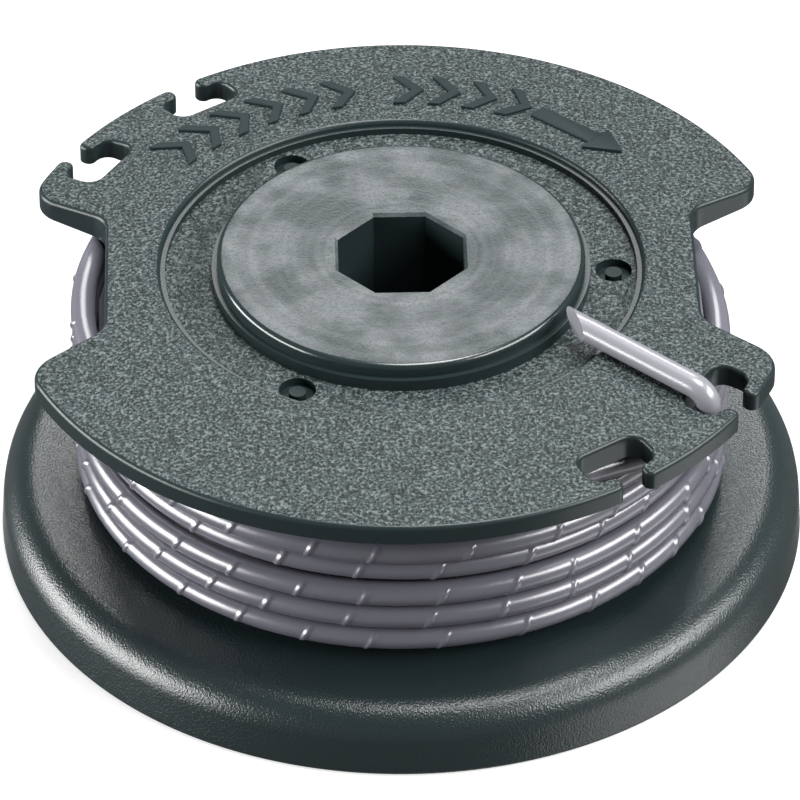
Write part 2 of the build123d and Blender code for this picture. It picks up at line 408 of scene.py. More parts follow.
def grain_group():
    """Node group: the pitted grain of a spark-eroded mould, as a height and masks of its pits and crests."""
    group = bpy.data.node_groups.new("eroded_grain", "ShaderNodeTree")
    group.interface.new_socket("Vector", in_out="INPUT", socket_type="NodeSocketVector")
    cells = group.interface.new_socket("Cells per metre", in_out="INPUT", socket_type="NodeSocketFloat")
    cells.default_value = 5000.0
    for name in ("Height", "Pits", "Crests"):
        group.interface.new_socket(name, in_out="OUTPUT", socket_type="NodeSocketFloat")
    into = node(group, "NodeGroupInput", (-700, 0))
    out = node(group, "NodeGroupOutput", (300, 0))
    link = group.links.new
    rough = node(group, "ShaderNodeTexNoise", (-450, 0), {"Detail": 1.0, "Roughness": 0.6})
    link(into.outputs["Vector"], rough.inputs["Vector"])
    link(into.outputs["Cells per metre"], rough.inputs["Scale"])
    height = rough.outputs["Fac"]
    link(height, out.inputs["Height"])
    link(band(group, (0, -100), height, low=0.5, high=0.38), out.inputs["Pits"])
    link(band(group, (0, -250), height, low=0.54, high=0.66), out.inputs["Crests"])
    return group


def place_grain(tree, grain, strength, depth):
    """Place the grain in a material and bump the surface with it; returns the group's node."""
    cells = node(tree, "ShaderNodeGroup", (-850, 0), node_tree=grain)
    bump = node(tree, "ShaderNodeBump", (-350, -200), {"Strength": strength, "Distance": depth})
    tree.links.new(own_place(tree), cells.inputs["Vector"])
    tree.links.new(cells.outputs["Height"], bump.inputs["Height"])
    tree.links.new(bump.outputs[0], tree.nodes["Principled BSDF"].inputs["Normal"])
    return cells


def eroded_material(finish, grain):
    """Grained faces: pitted, greyer black nylon that scatters the light."""
    material = new_material("eroded_nylon", roughness=0.5, specular=0.28)
    tree = material.node_tree
    cells = place_grain(tree, grain, strength=1.0, depth=0.18 * MM)
    dark = mix_colour(tree, (-550, 100), cells.outputs["Pits"], finish.eroded, finish.pits)
    pale = mix_colour(tree, (-350, 100), cells.outputs["Crests"], dark, finish.crests)
    paint(tree, pale)
    return material


def wear_and_sheen_material(finish, grain):
    """The boss's face: the same grain worn nearly smooth, cloudy and faintly ringed; painted greyer than the
    walls, partly for its wear and partly as painted sheen for the brighter reflection of its smooth face.
    """
    material = new_material("wear_and_sheen_nylon", roughness=0.36, specular=0.24)
    tree = material.node_tree
    cloud_share = 0.78
    pit_share = 0.5
    cells = place_grain(tree, grain, strength=0.3, depth=0.1 * MM)
    coords = own_place(tree)
    cloud = node(tree, "ShaderNodeTexNoise", (-850, -250), {"Scale": 330.0, "Detail": 4.0})
    flat = node(tree, "ShaderNodeVectorMath", (-1000, -500), {1: (1, 1, 0)}, operation="MULTIPLY")
    reach = node(tree, "ShaderNodeVectorMath", (-850, -500), operation="LENGTH")
    rings = node(tree, "ShaderNodeTexNoise", (-700, -500), {"Scale": 1400.0}, noise_dimensions="1D")
    link = tree.links.new
    link(coords, cloud.inputs["Vector"])
    link(coords, flat.inputs[0])
    link(flat.outputs[0], reach.inputs[0])
    link(reach.outputs["Value"], rings.inputs["W"])
    cloudy = band(tree, (-600, -250), cloud.outputs["Fac"], low=0.34, high=0.66)
    ringed = band(tree, (-550, -500), rings.outputs["Fac"], low=0.4, high=0.7)
    faint = math_node(tree, "MULTIPLY", (-400, -500), ringed, 1 - cloud_share)
    wear_and_sheen_mask = math_node(tree, "MULTIPLY_ADD", (-250, -400), cloudy, cloud_share, faint)
    # Painted sheen in part: the cloudy, ringed mask paints the face greyer, for its wear and for the
    # reflection of its smooth face.
    plain = mix_colour(tree, (-400, 100), wear_and_sheen_mask, finish.moulding, finish.wear_and_sheen)
    worn = math_node(tree, "MULTIPLY", (-650, 100), cells.outputs["Pits"], pit_share)
    paint(tree, mix_colour(tree, (-200, 100), worn, plain, finish.eroded))
    return material


def plain_material(finish, name, roughness, specular):
    """Black nylon without grain."""
    material = new_material(name, roughness, specular)
    paint(material.node_tree, finish.moulding)
    return material


def satin_material(finish, grain):
    """Walls and rounded edges: satin black nylon with hardly any grain."""
    material = plain_material(finish, "satin_nylon", roughness=0.32, specular=0.28)
    place_grain(material.node_tree, grain, strength=0.12, depth=0.05 * MM)
    return material


def grained_material(finish, grain):
    """The base: black nylon with a finer and slighter grain than the flange's."""
    material = plain_material(finish, "grained_nylon", roughness=0.29, specular=0.5)
    cells = place_grain(material.node_tree, grain, strength=0.6, depth=0.06 * MM)
    cells.inputs["Cells per metre"].default_value = 7000.0
    return material


def line_material(body, finish):
    """Clear grey nylon monofilament, glossy; painted paler where it lies free above the flange, as painted
    light: open light on the tail against the flange's shade on the wound line.
    """
    material = new_material("nylon_line", roughness=0.28, specular=1.0)
    tree = material.node_tree
    parts = node(tree, "ShaderNodeSeparateXYZ", (-850, 0))
    tree.links.new(own_place(tree), parts.inputs[0])
    # Painted light: the line is painted darker under the flange, for its shade on the winding, and paler
    # above it, for the open light on the tail.
    free = band(tree, (-600, 0), parts.outputs["Z"], body.flange_top - MM, body.flange_top + MM)
    paint(tree, mix_colour(tree, (-350, 0), free, finish.line, finish.tail))
    return material


def floor_material():
    """Pale floor: white to the camera but for the spool's soft shadow; a dim gloss to the spool itself."""
    shadowed = (0.3, 0.3, 0.3, 1)
    unseen = (0.12, 0.12, 0.12, 1)
    camera_glow = 0.68
    gloss_glow = 0.12
    material = bpy.data.materials.new("pale_floor")
    material.use_nodes = True
    tree = material.node_tree
    tree.nodes.remove(tree.nodes["Principled BSDF"])
    path = node(tree, "ShaderNodeLightPath", (-900, 0))
    camera, glossy = path.outputs["Is Camera Ray"], path.outputs["Is Glossy Ray"]
    plain = node(tree, "ShaderNodeBsdfDiffuse", (-350, 200))
    sheen = node(tree, "ShaderNodeBsdfGlossy", (-350, 50), {"Roughness": 0.2})
    edge_on = node(tree, "ShaderNodeFresnel", (-600, 0), {"IOR": 2.2})
    white = node(tree, "ShaderNodeEmission", (-350, -100), {"Color": (1, 1, 1, 1)})
    either = node(tree, "ShaderNodeMixShader", (-100, 100))
    both = node(tree, "ShaderNodeAddShader", (100, 0))
    glow = math_node(tree, "MULTIPLY", (-700, -150), camera, camera_glow)
    link = tree.links.new
    link(mix_colour(tree, (-600, 200), camera, unseen, shadowed), plain.inputs["Color"])
    link(math_node(tree, "MULTIPLY_ADD", (-500, -100), glossy, gloss_glow, glow), white.inputs["Strength"])
    link(edge_on.outputs[0], sheen.inputs["Color"])
    for number, output in enumerate((glossy, plain.outputs[0], sheen.outputs[0])):
        link(output, either.inputs[number])
    link(either.outputs[0], both.inputs[0])
    link(white.outputs[0], both.inputs[1])
    link(both.outputs[0], tree.nodes["Material Output"].inputs["Surface"])
    return material


# Moulded body

# Finishes of the moulding, in the order of its materials
SATIN, ERODED, WEAR_AND_SHEEN, GRAINED, DULL, WORN = range(6)
# How far up a face looks, from 0 on a wall to 1 on a level face
WALL, LEVEL, FLAT = 0.1, 0.9, 0.99
# Play in tests of where a face or an arc lies
HAIR = 0.05 * MM
TOUCH = 0.001 * MM
# Edges of the moulding that turn less than this are smooth
MOULDING_SMOOTH = math.radians(28)
# How far a cutter, a rib or a nub goes past the face that it meets
OVERLAP = 1 * MM
RIB_SINK = 0.5 * MM
NUB_SINK = 0.2 * MM
# Share of a gate mark's depth that its nub fills
NUB_SHARE = 0.75


def arc(centre, radius, start, end, steps):
    """Points of a flat arc; the angles are in degrees."""
    turns = [math.radians(start + (end - start) * k / steps) for k in range(steps + 1)]
    return [Vector((centre[0] + radius * math.cos(t), centre[1] + radius * math.sin(t))) for t in turns]


def rounded_profile(corners, steps=6):
    """Flat points through corners given as radius, height and rounding."""
    points = []
    for k, (x, z, rounding) in enumerate(corners):
        corner = Vector((x, z))
        if rounding == 0:
            points.append(corner)
            continue
        before = (Vector(corners[k - 1][:2]) - corner).normalized()
        after = (Vector(corners[k + 1][:2]) - corner).normalized()
        half = before.angle(after) / 2
        centre = corner + (before + after).normalized() * (rounding / math.sin(half))
        first = corner + before * (rounding / math.tan(half)) - centre
        sweep = -(math.pi - 2 * half) * (1 if before.x * after.y - before.y * after.x > 0 else -1)
        points += [centre + Matrix.Rotation(sweep * step / steps, 2) @ first for step in range(steps + 1)]
    return points


def lower_profile(body, seam):
    """Half section under the flange: in along it, down the drum, round the base and in to the axis."""
    under = flange_underside(body)
    return rounded_profile([
        (seam, under, 0),
        (body.drum_radius, under, body.edge), (body.drum_radius, body.base_top, body.edge),
        (body.base_radius - body.base_draft, body.base_height, body.base_shoulder),
        (body.base_radius, 0, body.edge), (body.rim_bore, 0, body.edge),
        (body.rim_bore, body.plate_under, 0), (body.drum_radius, body.plate_under, 0),
        (body.drum_radius, body.foot, 0),
        (body.drum_bore, body.foot, 0), (body.drum_bore, under, 0),
        (body.hub_radius, under, 0), (body.hub_radius, body.foot, 0), (0, body.foot, 0),
    ])


def upper_profile(body, seam):
    """Half section above the flange: out over the boss, through the recess and up to the flange's face."""
    edge = face_height(body, body.recess_radius)
    ledge = body.recess_radius - body.recess_ledge
    half_way = (edge + body.recess_floor) / 2
    step = body.recess_floor + body.boss_step
    return rounded_profile([
        (0, body.boss_top, 0), (body.boss_radius, body.boss_top, body.soft_edge),
        (body.boss_radius, step, 0), (body.boss_foot, step, 0), (body.boss_foot, body.recess_floor, 0),
        (ledge, body.recess_floor, 0), (ledge, half_way, 0), (body.recess_radius, half_way, 0),
        (body.recess_radius, edge, body.soft_edge), (seam, face_height(body, seam), 0),
    ])


def notch_arcs(body, cut):
    """Arcs of one side of a notch, from its floor out to the rim: centre, radius, bulge, start and end."""
    flare = cut.notch_flare
    floor = Vector((body.flange_radius - cut.notch_depth, cut.notch_floor / 2))
    along = Vector((math.cos(flare), math.sin(flare)))
    inwards = Vector((-math.sin(flare), math.cos(flare)))
    corner = floor + Vector((1, -(1 - math.sin(flare)) / math.cos(flare))) * cut.notch_corner
    foot = floor + inwards * cut.notch_tip
    reach = body.flange_radius - cut.notch_tip
    run = -foot.dot(along) + math.sqrt(foot.dot(along) ** 2 - foot.length_squared + reach ** 2)
    tip = foot + along * run
    lean = math.degrees(flare)
    return [
        (corner, cut.notch_corner, -1, 180, 90 + lean),
        (tip, cut.notch_tip, 1, lean - 90, math.degrees(math.atan2(tip.y, tip.x))),
    ]


def slot_arcs(body, cut):
    """Arcs of a slot on the X axis, in at one side of its mouth, round its bulb and out at the other."""
    wide = cut.slot_mouth / 2 + cut.slot_lip
    lip_x = math.sqrt((body.flange_radius - cut.slot_lip) ** 2 - wide ** 2)
    middle = body.flange_radius - cut.slot_inset
    shoulder = middle + cut.slot_width / 2 + cut.slot_lip
    reach = cut.slot_width / 2 - cut.slot_corner
    end = cut.slot_length / 2 - cut.slot_corner
    rim = math.degrees(math.atan2(wide, lip_x))
    half = [
        (Vector((lip_x, -wide)), cut.slot_lip, 1, -rim, 90),
        (Vector((shoulder, -wide)), cut.slot_lip, 1, 90, 180),
        (Vector((middle + reach, -end)), cut.slot_corner, -1, 0, -90),
        (Vector((middle - reach, -end)), cut.slot_corner, -1, -90, -180),
    ]
    return half + mirrored(half)


def turned(arcs, angle):
    """Arcs turned about the spool's axis by an angle in degrees."""
    turn = Matrix.Rotation(math.radians(angle), 2)
    return [(turn @ centre, radius, bulge, start + angle, end + angle)
            for centre, radius, bulge, start, end in arcs]


def mirrored(arcs):
    """Arcs mirrored across the X axis and run the other way."""
    return [(Vector((centre.x, -centre.y)), radius, bulge, -end, -start)
            for centre, radius, bulge, start, end in reversed(arcs)]


def flange_outline(body, cut, inset, arc_steps=8):
    """Outline of the top flange, drawn in by an inset; every inset gives as many points."""
    notch = notch_arcs(body, cut)
    half = list(notch)
    for angle in cut.slot_angles:
        half += turned(slot_arcs(body, cut), math.degrees(angle))
    half += turned(mirrored(notch), 180)
    points = []
    for turn in (0, 180):
        arcs = turned(half, turn)
        for (centre, radius, bulge, start, end), after in zip(arcs, arcs[1:] + [None]):
            points += arc(centre, radius - bulge * inset, start, end, arc_steps)
            on_rim = after and abs(centre.length + radius - body.flange_radius) < TOUCH
            if on_rim and abs(after[0].length + after[1] - body.flange_radius) < TOUCH:
                gap = (after[3] - end) % 360
                steps = max(2, round(gap * body.segments / 360))
                points += arc((0, 0), body.flange_radius - inset, end, end + gap, steps)[1:-1]
    return points


def spun_core(body, cut):
    """The round part of the body, spun from its half section; it is open at the flange's seam."""
    lower = lower_profile(body, cut.seam)
    upper = upper_profile(body, cut.seam)
    edges = [(k, k + 1) for k in range(len(lower) + len(upper) - 1) if k + 1 != len(lower)]
    piece = mesh_object("moulded_body", [(p.x, 0, p.y) for p in lower + upper], edges, [])
    pick(piece)
    bpy.ops.object.mode_set(mode="EDIT")
    bpy.ops.mesh.select_all(action="SELECT")
    bpy.ops.mesh.spin(steps=body.segments, angle=math.tau, center=(0, 0, 0), axis=(0, 0, 1))
    bpy.ops.object.mode_set(mode="OBJECT")
    return piece


def notched_flange(body, cut, rim_steps=5):
    """The flange outside the seam: its wall and rounded rim from drawn-in outlines, its two faces filled."""
    under = flange_underside(body)
    loops = [[(p.x, p.y, under) for p in flange_outline(body, cut, 0.0)]]
    for k in range(rim_steps + 1):
        turn = math.pi / 2 * k / rim_steps
        loop = flange_outline(body, cut, body.edge * (1 - math.cos(turn)))
        drop = body.edge * (1 - math.sin(turn))
        loops.append([(p.x, p.y, face_height(body, p.length) - drop) for p in loop])
    turns = [math.tau * k / body.segments for k in range(body.segments)]
    seams = [[polar(cut.seam, turn, z) for turn in turns] for z in (under, face_height(body, cut.seam))]
    count = len(loops[0])
    points = [point for loop in loops + seams for point in loop]
    first = count * len(loops)
    edges = []
    for start in (first, first + body.segments):
        edges += [(start + k, start + (k + 1) % body.segments) for k in range(body.segments)]
    piece = mesh_object("notched_flange", points, edges, tube_faces(count, len(loops)))
    fill_between(piece, range(count), range(first, first + body.segments))
    fill_between(piece, range(first - count, first), range(first + body.segments, len(points)))
    return piece


def fill_between(piece, outer, inner):
    """Fill the face between two closed loops of a piece's points."""
    chosen = set(outer) | set(inner)
    edit_chosen(piece, "EDGE", lambda edge: chosen.issuperset(edge.vertices))
    bpy.ops.mesh.fill(use_beauty=True)
    bpy.ops.object.mode_set(mode="OBJECT")


def socket_cutter(body, sides=8):
    """The many-sided drive socket right through the hub, flared at its mouth."""
    half_side = math.pi / sides
    radius = body.socket_flats / 2 / math.cos(half_side)
    mouth = body.boss_top - body.socket_lead_in
    piece = upright(radius, -OVERLAP, mouth, Vector((0, 0)), sides=sides, turn=half_side)
    flare = 1 + 2 * body.socket_lead_in / body.socket_flats
    edit_chosen(piece, "FACE", lambda face: face.normal.z > LEVEL)
    extrude(0, 0, body.socket_lead_in)
    bpy.ops.transform.resize(value=(flare, flare, 1))
    extrude(0, 0, OVERLAP)
    bpy.ops.object.mode_set(mode="OBJECT")
    return piece


def cut_with(piece, cutter):
    """Cut one object out of another and delete the cutter."""
    apply_modifier(piece, "BOOLEAN", operation="DIFFERENCE", solver="EXACT", object=cutter)
    bpy.data.objects.remove(cutter)


def radial_ribs(body, count, inner, outer, top, first_angle):
    """Upright ribs from one round wall to another, sunk into both and into the plate over them."""
    size = (outer - inner + 2 * RIB_SINK, body.rib, top + RIB_SINK - body.foot)
    height = (body.foot + top + RIB_SINK) / 2
    angles = [first_angle + math.tau * k / count for k in range(count)]
    return [block(size, polar((inner + outer) / 2, angle, height), angle) for angle in angles]


def join(piece, others):
    """Join other objects into a piece."""
    pick(piece)
    for other in others:
        other.select_set(True)
    bpy.ops.object.join()


def finish_of(body, polygon):
    """Which finish a face of the moulding has, by its place and how far up it looks."""
    height = polygon.center.z
    radius = math.hypot(polygon.center.x, polygon.center.y)
    upward = polygon.normal.z
    if radius < body.socket_flats and abs(upward) < WALL:
        return DULL
    if height > body.boss_top - body.soft_edge and upward > WALL:
        on_rim = radius > body.boss_radius - body.soft_edge and upward < FLAT
        return WORN if on_rim else WEAR_AND_SHEEN
    on_flange = radius > body.recess_radius and height > body.flange_top - HAIR
    gate_bottom = body.recess_floor - body.gate_depth
    in_recess = body.boss_foot < radius < body.recess_radius and height > gate_bottom - 2 * HAIR
    if in_recess and height < body.recess_floor - HAIR:
        return DULL
    if height < body.base_top and radius > body.drum_radius + body.edge:
        return GRAINED
    on_floor = in_recess and height < body.recess_floor + HAIR
    return ERODED if upward > LEVEL and (on_flange or on_floor) else SATIN


class SPOOL_OT_body(bpy.types.Operator):
    """Spin the moulded body, cut its flange and socket, rib its underside and finish its faces"""

    bl_idname = "spool.body"
    bl_label = "Mould Body"

    def execute(self, context):
        scene = context.scene
        body = scene.spool_body
        cut = scene.spool_outline
        piece = spun_core(body, cut)
        join(piece, [notched_flange(body, cut)])
        mend_mesh(piece, MOULDING_SMOOTH, merge=TOUCH)
        cut_with(piece, socket_cutter(body))
        join(piece, self.gates(piece, body) + self.ribs(body))
        pick(piece)
        bpy.ops.object.shade_smooth_by_angle(angle=MOULDING_SMOOTH)
        apply_modifier(piece, "WEIGHTED_NORMAL", keep_sharp=True)
        self.finish(piece, body, scene.spool_finish)
        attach(piece, "root")
        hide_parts("spool_body")
        return {"FINISHED"}

    def gates(self, piece, body, count=3):
        """Sink the gate marks into the recess's floor; returns their nubs."""
        nubs = []
        radius = (body.boss_foot + body.recess_radius - body.recess_ledge) / 2
        floor = body.recess_floor - body.gate_depth
        nub_top = floor + NUB_SHARE * body.gate_depth
        for k in range(count):
            place = polar(radius, math.tau * k / count, 0)
            cut_with(piece, upright(body.gate_diameter / 2, floor, body.boss_top, place))
            nubs.append(upright(body.gate_nub / 2, floor - NUB_SINK, nub_top, place))
        return nubs

    def ribs(self, body):
        """The ribs between hub and drum and those under the base plate."""
        half_pitch = math.pi / body.hub_ribs
        under = flange_underside(body)
        inner = radial_ribs(body, body.hub_ribs, body.hub_radius, body.drum_bore, under, half_pitch)
        return inner + radial_ribs(
            body, body.plate_ribs, body.drum_radius, body.rim_bore, body.plate_under, first_angle=0.0)

    def finish(self, piece, body, finish):
        """Give the faces of the body their finishes."""
        grain = grain_group()
        materials = piece.data.materials
        materials.clear()
        for make in (satin_material, eroded_material, wear_and_sheen_material, grained_material):
            materials.append(make(finish, grain))
        materials.append(plain_material(finish, "dull_nylon", roughness=0.5, specular=0.12))
        materials.append(plain_material(finish, "worn_nylon", roughness=0.2, specular=0.5))
        for polygon in piece.data.polygons:
            polygon.material_index = finish_of(body, polygon)


# Marks

# Length of the arrow's head and width of its tip, in widths of the head
HEAD_SHARE, TIP_SHARE = 0.75, 0.04
# Width of a mark's broken edges, and the angle below which its edges are smooth
MARK_BEVEL = 0.06 * MM
MARK_SMOOTH = math.radians(30)


def place_mark(piece, body, marks, radius, angle):
    """Lay a mark on the flange's sloping face with its own +X outwards, and fix it there."""
    pick(piece)
    lift = (marks.height - marks.sink) / 2
    piece.location = polar(radius, angle, face_height(body, radius) + lift)
    piece.rotation_euler = (0.0, math.atan(body.flange_slope), angle)
    bpy.ops.object.transform_apply(location=True, rotation=True, scale=True)
    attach(piece, "root")


class SPOOL_OT_marks(bpy.types.Operator):
    """Raise two runs of chevrons and an arrow on the flange, pointing the way the line is wound"""

    bl_idname = "spool.marks"
    bl_label = "Raise Winding Marks"

    def execute(self, context):
        scene = context.scene
        marks = scene.spool_marks
        model = self.chevron(marks)
        runs = ((marks.first, marks.first_count), (marks.second, marks.second_count))
        angles = [start - marks.pitch * k for start, count in runs for k in range(count)]
        for number, angle in enumerate(angles, 1):
            piece = bpy.data.objects.new(f"chevron_{number}", model.data.copy())
            context.collection.objects.link(piece)
            place_mark(piece, scene.spool_body, marks, marks.radius, angle)
        bpy.data.objects.remove(model)
        place_mark(self.arrow(marks), scene.spool_body, marks, marks.arrow_radius, marks.arrow_angle)
        return {"FINISHED"}

    def chevron(self, marks):
        """One chevron at the origin, pointing along -Y: half of it is slanted, then mirrored."""
        half = marks.span / 2
        piece = block((half, marks.stroke, marks.height + marks.sink), (half / 2, 0, 0))
        piece.name = "chevron"
        edit_chosen(piece, "VERT", lambda vertex: vertex.co.x < half / 2)
        bpy.ops.transform.translate(value=(0, -marks.point, 0))
        bpy.ops.object.mode_set(mode="OBJECT")
        apply_modifier(piece, "MIRROR", use_axis=(True, False, False), use_clip=True)
        self.soften(piece)
        return piece

    def arrow(self, marks):
        """The arrow at the origin, pointing along -Y: a shaft whose end is widened and drawn to a tip."""
        head = marks.arrow_head * HEAD_SHARE
        shaft = marks.arrow_length - head
        piece = block((marks.arrow_shaft, shaft, marks.height + marks.sink), (0, head / 2, 0))
        piece.name = "winding_arrow"
        edit_chosen(piece, "VERT", lambda vertex: vertex.co.y < head / 2)
        extrude(0, 0, 0)
        bpy.ops.transform.resize(value=(marks.arrow_head / marks.arrow_shaft, 1, 1))
        extrude(0, -head, 0)
        bpy.ops.transform.resize(value=(TIP_SHARE, 1, 1))
        bpy.ops.object.mode_set(mode="OBJECT")
        self.soften(piece)
        return piece

    def soften(self, piece):
        """Break a mark's sharp edges and give it its finish."""
        mend_mesh(piece, MARK_SMOOTH)
        apply_modifier(piece, "BEVEL", width=MARK_BEVEL, segments=2, limit_method="ANGLE")
        piece.data.materials.append(bpy.data.materials["dull_nylon"])


# Line

# Where the winding starts, and the share of a turn after which the line moves to its next row
WINDING_START = math.radians(70)
ROW_SHARE = 0.82
# Points in one turn of the outer layer, and of the hidden ones
OUTER_STEPS, HIDDEN_STEPS = 120, 30
# How fast a turn strays, and where its radius and its height read the noise
STRAY_RATE = 0.45
RADIUS_STRAY = Vector((0, 0, 3.1))
HEIGHT_STRAY = Vector((0, 5.7, 3.1))
# How fast the ridges' pitch strays in a millimetre of line, and where it reads the noise
PITCH_RATE = 0.31
PITCH_STRAY = Vector((0, 0.5, 0))
# A ridge's rings: half widths from its middle, and share of its height; level rings guard its sides
RIDGE_RINGS = ((-1.4, 0), (-1, 0), (-0.5, 0.75), (0, 1), (0.5, 0.75), (1, 0), (1.4, 0))
# Half of the length kept for a ridge, in widths of it, and the number of rings between two ridges
RIDGE_ROOM = 0.8
PLAIN_RINGS = 5
# A ridge starts where the cosine of the angle from the outside is this, and is full at twice that
RIDGE_REACH = 0.45
# How far from ring to ring on the hidden layers and on the tail
HIDDEN_PITCH = 4 * MM
TAIL_PITCH = 0.22 * MM
# Length at the end of the winding without ridges, over which the rings' slant goes to nothing
RUN_OUT = 6 * MM
# Gap under the tail, the least length of its slanted end, and its bend under the flange in bend radii
TAIL_GAP = 0.05 * MM
TIP_SPARE = 0.1 * MM
BEND_ROOM = 1.1
# Edges of the line that turn less than this are smooth
LINE_SMOOTH = math.radians(38)


def winding_rows(size):
    """Radius and height of each turn in the order of winding; every other layer nests in the one below."""
    layer_pitch = (size.last_radius - size.first_radius) / (size.layers - 1)
    row_pitch = (size.top_row - size.bottom_row) / (size.rows - 1)
    rows = []
    for layer in range(size.layers):
        radius = size.first_radius + layer_pitch * layer
        if layer % 2:
            heights = [size.top_row - row_pitch * (row + 0.5) for row in range(size.rows - 1)]
        else:
            heights = [size.bottom_row + row_pitch * row for row in range(size.rows)]
        rows += [(radius, height) for height in heights]
    last = len(rows) - size.rows
    strays = zip(rows[last:], size.row_tuck, size.row_lift)
    return rows[:last] + [(radius - tuck, height + lift) for (radius, height), tuck, lift in strays]


def winding_points(size, leave):
    """Centre line of the winding up to the angle where it leaves, and its number of hidden points."""
    rows = winding_rows(size)
    first_outer = len(rows) - size.rows
    points = []
    for turn, (here, there) in enumerate(zip(rows, rows[1:] + rows[-1:])):
        outer = turn >= first_outer
        steps = OUTER_STEPS if outer else HIDDEN_STEPS
        for k in range(steps):
            share = k / steps
            angle = WINDING_START + math.tau * share
            if turn == len(rows) - 1 and angle > leave:
                break
            shift = ease((share - ROW_SHARE) / (1 - ROW_SHARE))
            radius = here[0] + (there[0] - here[0]) * shift
            height = here[1] + (there[1] - here[1]) * shift
            if outer:
                along = Vector(((angle + math.tau * turn) * STRAY_RATE, 0, 0))
                radius += size.wander * noise.noise(along + RADIUS_STRAY)
                height += size.wander * noise.noise(along + HEIGHT_STRAY)
            points.append(polar(radius, angle, height))
    return points, first_outer * HIDDEN_STEPS


def rounded_route(corners, radius, steps=12):
    """Points along straight runs between corners, with arcs of one radius at the inner corners."""
    points = [corners[0]]
    for before, corner, after in zip(corners, corners[1:], corners[2:]):
        into = (corner - before).normalized()
        away = (after - corner).normalized()
        turn = into.angle(away)
        centre = corner + (away - into).normalized() * (radius / math.cos(turn / 2))
        spoke = corner - into * radius * math.tan(turn / 2) - centre
        axis = into.cross(away).normalized()
        points += [centre + Quaternion(axis, turn * k / steps) @ spoke for k in range(steps + 1)]
    return points + [corners[-1]]


def tail_points(body, size, start):
    """Centre line of the tail: off the top row, up through its slot and in over the flange to the boss."""
    lie = size.diameter / 2 + TAIL_GAP
    corners = [
        start,
        polar(size.rise_radius, size.rise_angle, flange_underside(body) - BEND_ROOM * size.bend),
        polar(size.rise_radius, size.rise_angle, face_height(body, size.rise_radius) + lie),
        polar(size.tip_radius, size.rise_angle, face_height(body, size.tip_radius) + lie),
    ]
    return rounded_route(corners, size.bend)[1:]


class LineRoute:
    """A centre line that can be read at any distance along it."""

    def __init__(self, points):
        self.points = points
        self.runs = [0.0]
        for a, b in zip(points, points[1:]):
            self.runs.append(self.runs[-1] + (b - a).length)
        self.length = self.runs[-1]

    def at(self, run):
        """The point at a distance from the start."""
        k = min(max(bisect.bisect_right(self.runs, run), 1), len(self.points) - 1)
        share = (run - self.runs[k - 1]) / (self.runs[k] - self.runs[k - 1])
        return self.points[k - 1].lerp(self.points[k], min(max(share, 0.0), 1.0))

    def along(self, run, reach=0.2 * MM):
        """The direction of travel at a distance from the start."""
        return (self.at(run + reach) - self.at(run - reach)).normalized()


def ring_places(size, inner, wound, end):
    """Distances of the line's rings, and the share of a ridge's height that each has."""
    sparse = int(inner / HIDDEN_PITCH)
    places = [(inner * k / sparse, 0.0) for k in range(sparse)]
    run = inner
    while run + 2 * size.ridge_pitch < wound:
        uneven = noise.noise(Vector((run / MM * PITCH_RATE, 0, 0)) + PITCH_STRAY)
        pitch = size.ridge_pitch * (1 + size.ridge_stray * uneven)
        plain = pitch - 2 * RIDGE_ROOM * size.ridge_width
        places += [(run + plain * k / PLAIN_RINGS, 0.0) for k in range(PLAIN_RINGS)]
        places += [(run + pitch + size.ridge_width * (half_widths / 2 - RIDGE_ROOM), height)
                   for half_widths, height in RIDGE_RINGS]
        run += pitch
    steps = math.ceil((end - run) / TAIL_PITCH)
    return places + [(run + (end - run) * k / steps, 0.0) for k in range(steps + 1)]


class SPOOL_OT_line(bpy.types.Operator):
    """Wind the ridged line on the drum and park its tail in a slot"""

    bl_idname = "spool.line"
    bl_label = "Wind Line"

    def execute(self, context):
        scene = context.scene
        size = scene.spool_line
        lead = math.acos(size.last_radius / size.rise_radius)
        wound, hidden_count = winding_points(size, size.rise_angle - lead + math.tau)
        route = LineRoute(wound + tail_points(scene.spool_body, size, wound[-1]))
        rings = self.rings(size, route, hidden_count, len(wound))
        sides = size.sides
        ends = [tuple(range(sides)), tuple(range((len(rings) - 1) * sides, len(rings) * sides))]
        points = [point for ring in rings for point in ring]
        piece = mesh_object("wound_line", points, [], ends + tube_faces(sides, len(rings)))
        mend_mesh(piece, LINE_SMOOTH)
        piece.data.materials.append(line_material(scene.spool_body, scene.spool_finish))
        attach(piece, "root")
        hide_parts("trimmer_line")
        return {"FINISHED"}

    def rings(self, size, route, hidden_count, wound_count):
        """Rings of points along the line, slanted on the winding; the last is the slanted cut of its tip."""
        wound = route.runs[wound_count - 1]
        cut = size.diameter / 2 * size.tip_slant + TIP_SPARE
        rings = []
        for run, ridge in ring_places(size, route.runs[hidden_count], wound - RUN_OUT, route.length - cut):
            centre = route.at(run)
            along = route.along(run)
            # Past the winding the outward side is carried on from ring to ring
            if run < wound:
                normal = Vector((centre.x, centre.y, 0))
            normal = (normal - along * normal.dot(along)).normalized()
            up = normal.cross(along)
            slant = size.ridge_slant * ease((wound - run) / RUN_OUT)
            rings.append(self.ring(size, centre, normal, up + along * slant, ridge * size.ridge_height))
        back = along.cross(Vector((0, 0, 1))).normalized()
        tip = route.points[-1]
        spokes = [point - centre for point in rings[-1]]
        rings.append([tip + spoke + along * size.tip_slant * back.dot(spoke) for spoke in spokes])
        return rings

    def ring(self, size, centre, out, up, ridge):
        """Points on one ring about a centre; a ridge stands up on its outer side only."""
        points = []
        for side in range(size.sides):
            turn = math.tau * side / size.sides
            crest = ease((math.cos(turn) - RIDGE_REACH) / RIDGE_REACH)
            radius = size.diameter / 2 + ridge * crest
            points.append(centre + (out * math.cos(turn) + up * math.sin(turn)) * radius)
        return points


# Stage

# Width of the floor, and how far it lies under the spool
FLOOR_WIDTH = 6.0
FLOOR_DROP = 0.05 * MM
# What the lamps face
LAMP_AIM = Vector((0, 0, 10 * MM))


